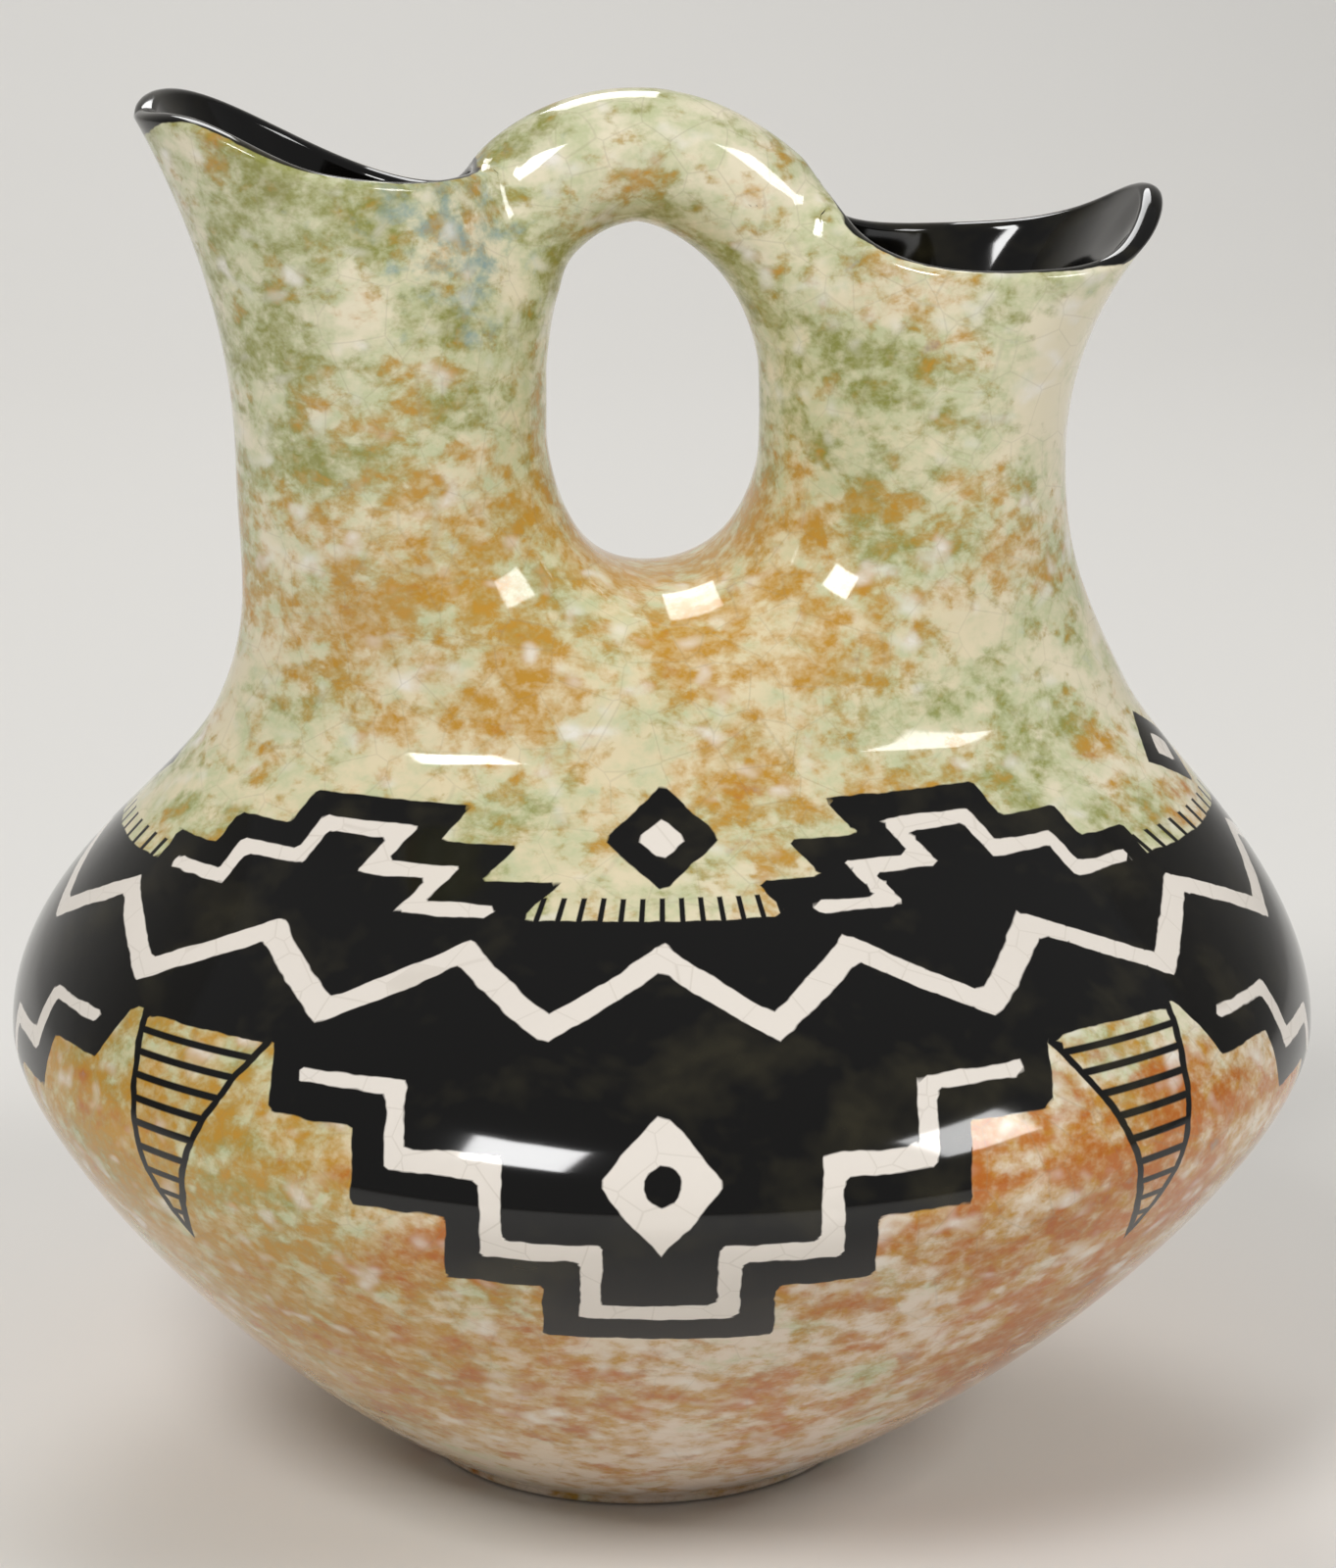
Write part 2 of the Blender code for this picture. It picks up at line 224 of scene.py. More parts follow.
def neck_headings(spout, inset, turn):
    """Which way a spout's wall leaves its foot: on from the shoulder outside, level over the crotch."""
    side = spout["side"]
    nudge = np.copysign(TINY_STEP, np.sin(turn))
    here = neck_points(spout, inset, turn)
    outside = (np.cos(turn) > 0)[:, None]
    back = unit(neck_points(spout, inset, turn - nudge) - here)
    on = unit(neck_points(spout, inset, turn + nudge) - here)
    level = np.broadcast_to([side, 0.0, 0.0], here.shape)
    taper = np.stack([-side * NECK_TAPER * np.cos(turn), -NECK_TAPER * np.sin(turn), np.ones_like(turn)], -1)
    up = np.where(outside, unit(taper), on)
    away = np.where(outside, back, level)
    swing = (math.pi / 4 * (1 - np.abs(np.cos(turn)) * np.cos(turn)))[:, None]
    return up * np.cos(swing) + away * np.sin(swing)


def throat_points(spout, inset, turn):
    """The narrow round throat of a spout, a little higher over the hole."""
    out = spout["throat"] + (THROAT_HALF_WIDTH - inset) * np.cos(turn)
    height = THROAT_HEIGHT + spout["inner_lift"] * np.maximum(-np.cos(turn), 0) ** 2
    return np.stack([spout["side"] * out, (THROAT_HALF_DEPTH - inset) * np.sin(turn), height], -1)


def rim_heights(spout, turn):
    """The wavy lip: high at the outer tip and at the handle, low between them."""
    towards_tip = (1 + np.cos(turn)) / 2
    towards_root = 1 - towards_tip
    wave = spout["tip_rise"] * towards_tip ** spout["tip_sharpness"]
    wave = wave + spout["root_rise"] * towards_root ** spout["root_sharpness"]
    tilt = spout["back_tilt"] * np.maximum(np.sin(turn), 0) * (BACK_TILT_CENTRE - towards_root)
    swell = spout["front_swell"] * np.maximum(np.cos(2 * turn + math.pi / 2) * (np.sin(turn) < 0), 0) ** 2
    return THROAT_HEIGHT + spout["lip_rise"] + wave + tilt + swell * (np.cos(turn) > 0)


def rim_points(spout, inset, turn):
    """The flared rim of a spout."""
    out = spout["rim"] + (spout["rim_half_width"] - inset) * np.cos(turn)
    across = (RIM_HALF_DEPTH - inset) * np.sin(turn)
    return np.stack([spout["side"] * out, across, rim_heights(spout, turn)], -1)


def rising_rings(spout, inset, rows):
    """Rings of a spout's lower part, from the neck to the throat."""
    turn = turns_round()
    foot = neck_points(spout, inset, turn)
    throat = throat_points(spout, inset, turn)
    pull = np.linalg.norm(throat - foot, axis=-1, keepdims=True) * SPOUT_FULLNESS
    t = np.linspace(0, 1, rows + 1)[:, None, None]
    return bezier(foot, foot + neck_headings(spout, inset, turn) * pull, throat - pull * [0, 0, 1], throat, t)


def flaring_rings(spout, wall, lip, shares):
    """Rings of a spout's upper part, which flares ever faster: a share of 0 is the throat and 1 the rim."""
    turn = turns_round()
    throat = throat_points(spout, wall, turn)
    rim = rim_points(spout, lip, turn)
    t = np.asarray(shares)[:, None, None]
    rings = throat + (rim - throat) * t**2
    rings[..., 2] = throat[:, 2] + (rim[:, 2] - throat[:, 2]) * t[..., 0]
    return rings


def crest_rings(spout):
    """Rings over the rounded top of the lip, from outside to inside."""
    turn = turns_round()
    rings = []
    for step in range(1, CREST_ROWS):
        over = math.pi * step / CREST_ROWS
        ring = rim_points(spout, LIP_WALL * (1 - math.cos(over)) / 2, turn)
        ring[:, 2] += LIP_CREST * math.sin(over)
        rings.append(ring)
    return np.array(rings)


def handle_line():
    """The handle's centre line, and how far it spreads at each point."""
    feet = []
    for spout in (LEFT, RIGHT):
        out = spout["throat"] - THROAT_HALF_WIDTH + HANDLE_FOOT_DEPTH
        feet.append(np.array([spout["side"] * out, 0, rim_root(spout) - HANDLE_FOOT_DROP]))
    crown = np.array([(feet[0][0] + feet[1][0]) / 2 - HANDLE_CROWN_SHIFT, 0,
                      max(rim_root(LEFT), rim_root(RIGHT)) + HANDLE_RISE])
    leg = np.array([0, 0, HANDLE_LEG_REACH])
    reach = np.array([HANDLE_CROWN_REACH, 0, 0])
    t = np.linspace(0, 1, HANDLE_LINE_STEPS)[:, None]
    left = bezier(feet[0], feet[0] + leg, crown - reach, crown, t)
    right = bezier(crown, crown + reach, feet[1] + leg, feet[1], t)
    spread = HANDLE_FOOT_SPREAD + (1 - HANDLE_FOOT_SPREAD) * t[:, 0]
    return np.vstack([left, right[1:]]), np.concatenate([spread, spread[-2::-1]]) * HANDLE_RADIUS


def rim_root(spout):
    """How high a lip is where the handle joins it."""
    return float(rim_heights(spout, np.array([math.pi]))[0])


# Skins: each piece is a stack of rings. Rings of one skin share smooth normals, also with the next piece.


def ring_faces(rows, columns, flip):
    """Faces between each ring and the next."""
    lower = np.arange((rows - 1) * columns).reshape(rows - 1, columns)
    beside = np.roll(lower, -1, axis=1)
    faces = np.stack([lower, beside, beside + columns, lower + columns], -1).reshape(-1, 4)
    return faces[:, ::-1] if flip else faces


class Piece:
    """One piece of the vase while its rings are worked out."""

    def __init__(self, name, skins, flip=False, hollow=True):
        self.name = name
        self.flip = flip
        self.hollow = hollow
        self.sizes = [len(skin) for skin in skins]
        self.rings = np.concatenate(skins)
        self.paint = np.full(self.rings.shape[:2], UNPAINTED)
        self.slip = np.full(self.rings.shape[:2], UNPAINTED)
        self.hatch = np.full(self.rings.shape[:2], UNPAINTED)
        self.rise = np.full(self.rings.shape[:2], BELOW_BAND)
        self.dip = np.zeros_like(self.rings)

    def points(self):
        return self.rings.reshape(-1, 3)

    def skin_faces(self):
        """The faces inside each skin, without those that close the wall."""
        columns = self.rings.shape[1]
        found, start = [], 0
        for size in self.sizes:
            found.append(ring_faces(size, columns, self.flip) + start * columns)
            start += size
        return np.concatenate(found)

    def all_faces(self):
        """The faces of the whole closed wall, or of a solid piece with a face over each end."""
        rows, columns = self.rings.shape[:2]
        if self.hollow:
            faces = ring_faces(rows + 1, columns, self.flip)
            return np.where(faces >= rows * columns, faces - rows * columns, faces).tolist()
        first = list(range(columns))
        last = list(range((rows - 1) * columns, rows * columns))
        ends = [first, last[::-1]] if self.flip else [first[::-1], last]
        return ring_faces(rows, columns, self.flip).tolist() + ends


WELDS_PER_MM = 500
WELD_SHIFT = 0.137


def shared_normals(pieces):
    """Smooth normals for every point of every piece, shared where pieces meet. The shift keeps round sizes off
    the edges of the grid that points are matched on."""
    points = np.concatenate([piece.points() for piece in pieces])
    faces, start = [], 0
    for piece in pieces:
        faces.append(piece.skin_faces() + start)
        start += len(piece.points())
    faces = np.concatenate(faces)
    grid = np.round(points * WELDS_PER_MM + WELD_SHIFT).astype(np.int64)
    _, same = np.unique(grid, axis=0, return_inverse=True)
    same = same.reshape(-1)
    corners = points[faces]
    facing = np.cross(corners[:, 2] - corners[:, 0], corners[:, 3] - corners[:, 1])
    total = np.zeros((same.max() + 1, 3))
    for corner in range(4):
        np.add.at(total, same[faces[:, corner]], facing)
    normals = unit(total)[same]
    split, start = [], 0
    for piece in pieces:
        split.append(normals[start:start + len(piece.points())])
        start += len(piece.points())
    return split


# Blending the handle into the spouts

TOUCHING = 0.2
POINTS_AT_ONCE = 2000
SETTLE_ROUNDS = 6
LONGEST_STEP = 1.5
LEAST_SLOPE = 0.05


class Surface:
    """A surface that tells how far points lie from it: below 0 is inside."""

    def __init__(self, rings, flip, closed):
        rows, columns = rings.shape[:2]
        faces = ring_faces(rows, columns, flip)
        if closed:
            faces = ring_faces(rows + 1, columns, flip)
            faces = np.where(faces >= rows * columns, faces - rows * columns, faces)
        self.tree = BVHTree.FromPolygons(rings.reshape(-1, 3).tolist(), faces.tolist())

    def distance(self, points):
        """(distance, direction away from the surface) for each point."""
        far = np.empty(len(points))
        away = np.empty((len(points), 3))
        for index, point in enumerate(points):
            near, normal, _, gap = self.tree.find_nearest(Vector(point))
            off = point - np.array(near)
            inside = off @ np.array(normal) < 0
            far[index] = -gap if inside else gap
            away[index] = np.array(normal) if gap < TOUCHING else off / far[index]
        return far, away


def coil_distance(points, line, radius):
    """(distance, direction) from the handle's coil."""
    far = np.empty(len(points))
    away = np.empty((len(points), 3))
    for start in range(0, len(points), POINTS_AT_ONCE):
        some = slice(start, start + POINTS_AT_ONCE)
        part = points[some]
        gap = np.linalg.norm(part[:, None] - line[None], axis=-1) - radius
        near = gap.argmin(axis=1)
        far[some] = gap[np.arange(len(part)), near]
        away[some] = unit(part - line[near])
    return far, away


def soft_union(one, other, width):
    """The distance from two surfaces that flow into each other over a width."""
    first, first_away = one
    second, second_away = other
    blend = np.maximum(width - np.abs(first - second), 0) / width
    share = np.where(first < second, 1 - blend / 2, blend / 2)[:, None]
    return np.minimum(first, second) - blend**2 * width / 4, first_away * share + second_away * (1 - share)


def opposite(field):
    """The same surface with its inside and outside swapped."""
    return -field[0], -field[1]


def handle_field(points, coil, sinks):
    """The handle's distance, its ends rounded off inside the walls of the spouts."""
    field = coil_distance(points, *coil)
    for sink in sinks:
        field = opposite(soft_union(opposite(field), sink.distance(points), END_ROUNDING))
    return field


def settle(points, field_of):
    """Moves points onto the surface where a field is zero."""
    points = points.copy()
    for _ in range(SETTLE_ROUNDS):
        far, away = field_of(points)
        slope = np.maximum((away**2).sum(-1), LEAST_SLOPE)
        step = np.clip(far / slope, -LONGEST_STEP, LONGEST_STEP)
        points -= away * step[:, None]
    return points


def handle_rings(coil, sinks):
    """Rings of the handle from wall to wall, closed at both ends inside the walls."""
    line, radius = coil
    along = unit(np.gradient(line, axis=0))
    out = np.stack([-along[:, 2], np.zeros(len(line)), along[:, 0]], -1)
    turn = np.arange(AROUND_HANDLE) * (math.tau / AROUND_HANDLE)
    across = np.array([0.0, 1.0, 0.0])
    coil_rings = line[:, None] + radius[:, None, None] * (
        out[:, None] * np.cos(turn)[None, :, None] + across * np.sin(turn)[None, :, None])
    count = len(line)
    flat = coil_rings.reshape(-1, 3)
    depths = [sink.distance(flat)[0].reshape(count, AROUND_HANDLE) for sink in sinks]
    steps = np.linspace(0, 1, ALONG_HANDLE)
    easing = (1 - np.cos(math.pi * steps)) / 2
    easing = steps * HANDLE_EVEN_SPACING + easing * (1 - HANDLE_EVEN_SPACING)
    rings = np.empty((ALONG_HANDLE, AROUND_HANDLE, 3))
    places = np.arange(count)
    for column in range(AROUND_HANDLE):
        first = places[:count // 2][depths[0][:count // 2, column] < 0].max(initial=0)
        last = places[count // 2:][depths[1][count // 2:, column] < 0].min(initial=count - 1)
        start = first + crossing(depths[0][first, column], depths[0][min(first + 1, count - 1), column])
        end = last - crossing(depths[1][last, column], depths[1][max(last - 1, 0), column])
        where = start + (end - start) * easing
        for axis in range(3):
            rings[:, column, axis] = np.interp(where, places, coil_rings[:, column, axis])
    caps = []
    for end in (rings[0], rings[-1]):
        middle = end.mean(axis=0)
        caps.append(np.array([middle + (end - middle) * share for share in CAP_SHARES]))
    return np.concatenate([caps[0], rings, caps[1][::-1]])


def crossing(inside, outside):
    """How far along a step a distance passes from inside to outside."""
    return inside / (inside - outside) if outside > 0 > inside else 0.0


def join_handle(spouts, handle_piece, coil, sinks, shells):
    """Lets the handle and the spouts flow into each other, as wet clay is smoothed with a finger."""
    def whole(points):
        field = handle_field(points, coil, sinks)
        width = np.interp(points[:, 2], FILLET_HEIGHTS, (LEG_FILLET, FILLET, LIP_FILLET))
        for shell in shells:
            field = soft_union(field, shell.distance(points), width)
        return field

    points = handle_piece.points()
    near = np.minimum(*(shell.distance(points)[0] for shell in shells)) < FILLET + FILLET_MARGIN
    ends = np.zeros(handle_piece.rings.shape[:2], bool)
    ends[:len(CAP_SHARES)] = True
    ends[-len(CAP_SHARES):] = True
    buried = ends.reshape(-1) & (whole(points)[0] < BURIED)
    moving = near & ~buried
    points[moving] = settle(points[moving], whole)
    handle_piece.rings = points.reshape(handle_piece.rings.shape)
    for spout in spouts:
        points = spout.points()
        near = coil_distance(points, *coil)[0] < FILLET + FILLET_MARGIN
        chosen = points[near]
        moved = settle(chosen, whole)
        deep = np.clip(-(handle_field(chosen, coil, sinks)[0] + DEEP_FROM) / DEEP_OVER, 0, 1)
        rows = rows_from_end(handle_piece, moved)
        edges = handle_piece.rings[[len(CAP_SHARES), -1 - len(CAP_SHARES)]].reshape(-1, 3)
        from_edge = nearest(edges, moved)[1]
        under = np.minimum(np.interp(rows, HIDING_ROWS, (0, 1)), np.interp(from_edge, HIDING_REACH, (0, 1)))
        hidden = np.where(rows < 0, deep, under**2 * (3 - 2 * under))[:, None]
        spout.dip.reshape(-1, 3)[near] = (chosen - moved) * hidden
        points[near] = moved
        spout.rings = points.reshape(spout.rings.shape)
    for piece in (*spouts, handle_piece):
        blacken_mouths(piece, sinks)


def rows_from_end(handle_piece, points):
    """How many rows from its nearer end the handle passes each point: below 0 on the end's own face."""
    rows, columns = handle_piece.rings.shape[:2]
    row = nearest(handle_piece.points(), points)[0] // columns
    return np.minimum(row, rows - 1 - row) - len(CAP_SHARES)


def nearest(spots, points):
    """(which spot is nearest, how far it is) for each point."""
    tree = KDTree(len(spots))
    for index, spot in enumerate(spots):
        tree.insert(spot, index)
    tree.balance()
    found = [tree.find(point) for point in points]
    return np.array([index for _, index, _ in found]), np.array([gap for _, _, gap in found])


LIPS_FROM = THROAT_HEIGHT + 12.0
NO_TIP_BLACK = LIP_CREST + LINING_CLIMBS + 0.3


def blacken_mouths(piece, sinks):
    """Lets the black lining come up over each lip and stop on its top, and on the handle's end beside it. At
    each outer tip it runs a little way down the outside."""
    points = piece.points()
    paint = piece.paint.reshape(-1)
    high = points[:, 2] > LIPS_FROM
    edge = np.full(high.sum(), UNPAINTED)
    for spout, sink in zip((LEFT, RIGHT), sinks):
        out = (spout["side"] * points[high, 0] - spout["rim"]) / spout["rim_half_width"]
        turn = np.arctan2(points[high, 1] / RIM_HALF_DEPTH, out)
        above = points[high, 2] - rim_heights(spout, turn)
        towards_tip = (1 + np.cos(turn)) / 2
        reach = (spout["tip_black"] + NO_TIP_BLACK) * towards_tip ** spout["tip_black_sharpness"] - NO_TIP_BLACK
        own = spout["side"] * points[high, 0] > 0
        over_lip = above - LIP_CREST - LINING_CLIMBS
        lining = np.maximum(sink.distance(points[high])[0] - LINING_STOPS, over_lip)
        tip_band = np.maximum(-above - reach, over_lip)
        edge = np.where(own, np.minimum(lining, tip_band), edge)
    paint[high] = np.clip(edge, ALL_BLACK, UNPAINTED)


# The painted band. Its plan is drawn flat: x runs round the belly and y up its wall from the girth, in mm.

REPEATS = 4
PLAN_FACING = math.radians(-98)
BAND_LOW = 20.0
BAND_HIGH = 44.0
HANGING_STEPS = ((58.0, 10.0), (44.0, 0.0), (30.0, -11.0), (16.0, -23.0))
RISING_STEPS = ((31.0, 50.5), (21.0, 57.0), (11.0, 63.5))
SMALL_DIAMOND = (8.5, 9.0, 58.0)
PENDANT_HALF_WIDTH = 13.0
PENDANT_TIP = -16.0
ZIGZAG_MIDDLE = 32.0
ZIGZAG_HEIGHT = 6.0
ZIGZAG_LENGTHS = 4
SLIP_HALF_WIDTH = 1.8
STEP_LINE_INSET = 6.5
STEP_LINE_HALF_WIDTH = 1.5
STEP_LINE_TOP = 17.0
PEAK_LINE_INSET = 5.5
PEAK_LINE_HALF_WIDTH = 1.3
GEM = (8.5, 9.5, 5.0)
GEM_EYE = 2.6
HEART_INSET = 3.6
TICKS = 136
TICK_PITCH = 3.6
TICK_WIDTH = 1.0
TICK_HEIGHT = 4.4
HATCH_PITCH = 1.7
HATCH_LINE = 0.55
HATCH_EDGE = 0.7
TUCKED_BEHIND = 1.0
FAR_OFF = 50.0


def box_distance(x, y, half_width, low, high):
    """How far points of the plan lie from an upright bar centred on x = 0."""
    across = np.abs(x) - half_width
    along = np.maximum(low - y, y - high)
    return np.hypot(np.maximum(across, 0), np.maximum(along, 0)) + np.minimum(np.maximum(across, along), 0)


def diamond_distance(x, y, half_width, half_height):
    """How far points of the plan lie from a diamond."""
    slope = half_width * half_height / math.hypot(half_width, half_height)
    return (np.abs(x) / half_width + np.abs(y) / half_height - 1) * slope


def paint_plan(piece, rows, angle, radius, height_along):
    """Works out the black, the pale slip lines and the hatching on the first rows of a piece."""
    share = (angle - PLAN_FACING) / math.tau * REPEATS
    off = share - np.round(share)
    x = off * math.tau / REPEATS * radius
    between = (0.5 - np.abs(off)) * math.tau / REPEATS * radius
    y = height_along
    band = np.maximum(BAND_LOW - y, y - BAND_HIGH)
    steps = np.full(x.shape, FAR_OFF)
    for half_width, low in HANGING_STEPS:
        steps = np.minimum(steps, box_distance(x, y, half_width, low, BAND_HIGH))
    peaks = np.full(x.shape, FAR_OFF)
    for half_width, high in RISING_STEPS:
        peaks = np.minimum(peaks, box_distance(between, y, half_width, BAND_LOW, high))
    half_width, half_height, middle = SMALL_DIAMOND
    small = diamond_distance(x, y - middle, half_width, half_height)
    piece.paint[:rows] = np.minimum.reduce([band, steps, peaks, small])
    wave = np.abs((share * ZIGZAG_LENGTHS) % 1 * 2 - 1) * 2 - 1
    reach = math.tau * radius / REPEATS / ZIGZAG_LENGTHS / 2
    lean = np.hypot(1, 2 * ZIGZAG_HEIGHT / reach)
    zigzag = np.abs(y - ZIGZAG_MIDDLE - wave * ZIGZAG_HEIGHT) / lean - SLIP_HALF_WIDTH
    inner_steps = np.maximum(np.abs(steps + STEP_LINE_INSET) - STEP_LINE_HALF_WIDTH, y - STEP_LINE_TOP)
    half_width, half_height, middle = GEM
    gem = diamond_distance(x, y - middle, half_width, half_height)
    around_eye = GEM_EYE - np.hypot(x, y - middle)
    inner_peaks = np.maximum(np.abs(peaks + PEAK_LINE_INSET) - PEAK_LINE_HALF_WIDTH, BAND_HIGH - y)
    ring = np.maximum(gem, around_eye)
    heart = small + HEART_INSET
    piece.slip[:rows] = np.minimum.reduce([zigzag, inner_steps, inner_peaks, ring, heart])
    taper = PENDANT_HALF_WIDTH * (y - PENDANT_TIP) / (BAND_LOW - PENDANT_TIP)
    piece.hatch[:rows] = np.maximum(between - taper, y - BAND_LOW - TUCKED_BEHIND)
    piece.rise[:rows] = y


# Building the pieces

PROFILE_STEPS = 2000
LINING_FROM = 0.02
SINK_TOP = 1.35
SLAB_EDGE_ROWS = 8
ROUNDING_ROWS = 6
FOOT_RING_ROWS = 5
HOLLOW_ROWS = 11
HOLLOW_STEEPNESS = 4
BARE_ROUNDING_ROWS = 3
CENTRE = 0.02


def lining_at(bottom):
    """Where the bowl's lining passes a height."""
    t = np.linspace(LINING_FROM, 1, PROFILE_STEPS)
    return float(np.interp(bottom, bowl_lining(t)[1], t))


def bowl_share(height):
    """Where the bowl's outside passes a height."""
    t = np.linspace(0, 1, PROFILE_STEPS)
    return float(np.interp(height, bowl_profile(t)[1], t))


def make_bowl():
    """The bowl from the slab up to the girth."""
    t = np.linspace(bowl_share(BASE_THICKNESS), 1, BOWL_ROWS + 1)
    radius, height = bowl_profile(t)
    lining = bowl_lining(np.linspace(1, lining_at(BASE_THICKNESS), LINING_ROWS + 1))
    piece = Piece("lower_bowl", [turned(radius, height), turned(*lining)])
    run = np.concatenate([[0], np.cumsum(np.hypot(np.diff(radius), np.diff(height)))])
    every = (len(t), AROUND)
    paint_plan(piece, len(t), np.broadcast_to(turns_round(), every), np.broadcast_to(radius[:, None], every),
               np.broadcast_to((run - run[-1])[:, None], every))
    return piece


def make_shoulder():
    """The upper half of the belly."""
    t = np.linspace(0, 1, SHOULDER_ROWS + 1)
    outer = shoulder_rings(0, t)
    inner = shoulder_rings(WALL, np.linspace(1, 0, LINING_ROWS + 1))
    piece = Piece("shoulder", [outer, inner])
    angle = np.arctan2(outer[..., 1], outer[..., 0])
    radius = np.hypot(outer[..., 0], outer[..., 1])
    strides = np.linalg.norm(np.diff(outer, axis=0), axis=-1)
    run = np.concatenate([np.zeros((1, AROUND)), np.cumsum(strides, axis=0)])
    even = run / run[-1] * run[-1].mean()
    paint_plan(piece, len(t), angle, radius, even)
    return piece


def make_spout(name, spout):
    """One spout, black inside, with the black rolled over its lip."""
    outside = np.concatenate([rising_rings(spout, 0, RISING_ROWS),
                              flaring_rings(spout, 0, 0, np.linspace(0, 1, FLARING_ROWS + 1)[1:])])
    inside = np.concatenate([rising_rings(spout, WALL, LINING_ROWS),
                             flaring_rings(spout, WALL, LIP_WALL, np.linspace(0, 1, LINING_ROWS + 1)[1:])])
    piece = Piece(name, [np.concatenate([outside, crest_rings(spout), inside[::-1]])], spout["side"] < 0)
    piece.paint[len(outside):] = ALL_BLACK
    return piece


def make_handle(coil, sinks):
    """The stirrup handle."""
    rings = handle_rings(coil, sinks)
    return Piece("handle", [rings], flip=True, hollow=False)


def tuck_ends(piece, normals, spouts):
    """Sinks the handle's smoothed-out edges just under the spouts' skin, where that lies beside them."""
    facing = normals.reshape(piece.rings.shape)
    skins = shells_of(spouts)
    first, last = len(CAP_SHARES), len(piece.rings) - len(CAP_SHARES)
    facing[first], facing[last - 1] = facing[first + 1], facing[last - 2]
    for row in range(first, last):
        depth = np.interp(min(row - first, last - 1 - row), TUCK_ROWS, TUCKS)
        if depth > 0:
            gap = np.min([np.abs(skin.distance(piece.rings[row])[0]) for skin in skins], axis=0)
            depth = depth * np.interp(gap, TUCK_REACH, (1, 0))[:, None]
        piece.rings[row] -= facing[row] * depth


def shells_of(spouts):
    """The spouts' own walls as surfaces."""
    return [Surface(spout.rings, spout.flip, closed=True) for spout in spouts]


def sinks_of():
    """How deep the handle's ends reach into each spout's wall, and straight on above the lip."""
    found = []
    for spout in (LEFT, RIGHT):
        shares = np.linspace(0, SINK_TOP, FLARING_ROWS + 1)[1:]
        rings = np.concatenate([rising_rings(spout, HANDLE_SINK, RISING_ROWS),
                                flaring_rings(spout, HANDLE_SINK, HANDLE_SINK, shares)])
        found.append(Surface(rings, spout["side"] < 0, closed=False))
    return found


def base_rings():
    """The slab: its glazed edge, a rounded foot, and a bare underside with a shallow hollow."""
    t = np.linspace(bowl_share(BASE_THICKNESS), bowl_share(FOOT_ROUNDING), SLAB_EDGE_ROWS)
    radius, height = (list(values) for values in bowl_profile(t))
    corner = radius[-1] - FOOT_ROUNDING
    for step in range(1, ROUNDING_ROWS + 1):
        over = math.pi / 2 * step / ROUNDING_ROWS
        radius.append(corner + FOOT_ROUNDING * math.cos(over))
        height.append(FOOT_ROUNDING * (1 - math.sin(over)))
    glazed = len(radius) - BARE_ROUNDING_ROWS
    for share in np.linspace(0, 1, FOOT_RING_ROWS + 1)[1:]:
        radius.append(corner - FOOT_RING * share)
        height.append(0.0)
    hollow = radius[-1]
    for share in np.linspace(0, 1, HOLLOW_ROWS + 1)[1:]:
        radius.append(hollow * (1 - share) + CENTRE * share)
        climb = min(1, share * HOLLOW_STEEPNESS)
        height.append(FOOT_HOLLOW * climb**2 * (3 - 2 * climb))
    under = turned(np.array(radius), np.array(height))[::-1]
    top = turned(np.array([radius[0] - SLAB_INSET, CENTRE]), np.full(2, BASE_THICKNESS))
    return under, top, len(radius) - glazed


def build_mesh(piece, normals, materials):
    """The Blender mesh of a piece, with its own normals and painted plan."""
    mesh = bpy.data.meshes.new(piece.name)
    mesh.from_pydata((piece.points() * MM).tolist(), [], piece.all_faces())
    for material in materials:
        mesh.materials.append(material)
    for name in ("paint", "slip", "hatch", "rise"):
        layer = mesh.attributes.new(name, "FLOAT", "POINT")
        layer.data.foreach_set("value", getattr(piece, name).reshape(-1).astype(np.float32))
    mesh.shade_smooth()
    mesh.normals_split_custom_set_from_vertices(normals.tolist())
    return mesh


# Materials


def linear(colour):
    """An sRGB hex colour as linear red, green, blue and alpha."""
    parts = [int(colour[start:start + 2], 16) / 255 for start in (1, 3, 5)]
    return [part / 12.92 if part <= 0.04045 else ((part + 0.055) / 1.055) ** 2.4 for part in parts] + [1.0]


def per_metre(size):
    """A texture's scale for features of a size in millimetres."""
    return 1 / (size * MM)


def node(tree, kind, inputs=None, out=0, **settings):
    """Adds a node with its settings, sets or links its inputs, and gives one of its outputs."""
    made = tree.nodes.new(kind)
    for name, value in settings.items():
        setattr(made, name, value)
    for key, value in (inputs or {}).items():
        if isinstance(value, bpy.types.NodeSocket):
            tree.links.new(value, made.inputs[key])
        else:
            made.inputs[key].default_value = value
    return None if out is None else made.outputs[out]


def blank_material(name):
    """An empty material, and a function that adds nodes to it."""
    material = bpy.data.materials.new(name)
    material.use_nodes = True
    material.node_tree.nodes.clear()
    return material, functools.partial(node, material.node_tree)


CREAM = "#E8E0C4"
PINK_CREAM = "#E6D3C4"
PALE_GREEN = "#C6C9A0"
SAGE = "#8E9A58"
OLIVE = "#908236"
STRAW = "#D9C285"
GOLD = "#C08F35"
ORANGE = "#C6742B"
RUST = "#AC5F24"
BLUE_GREY = "#93A8A3"
MILK = "#EFEAE0"
BLACK = "#080706"
THIN_BLACK = "#332F20"
WHITE_SLIP = "#E9E1D7"
CRAZE = "#8F8168"
DARK_CLAY = "#A87E55"
PALE_CLAY = "#C9A67C"
VASE_HEIGHT = 211.0

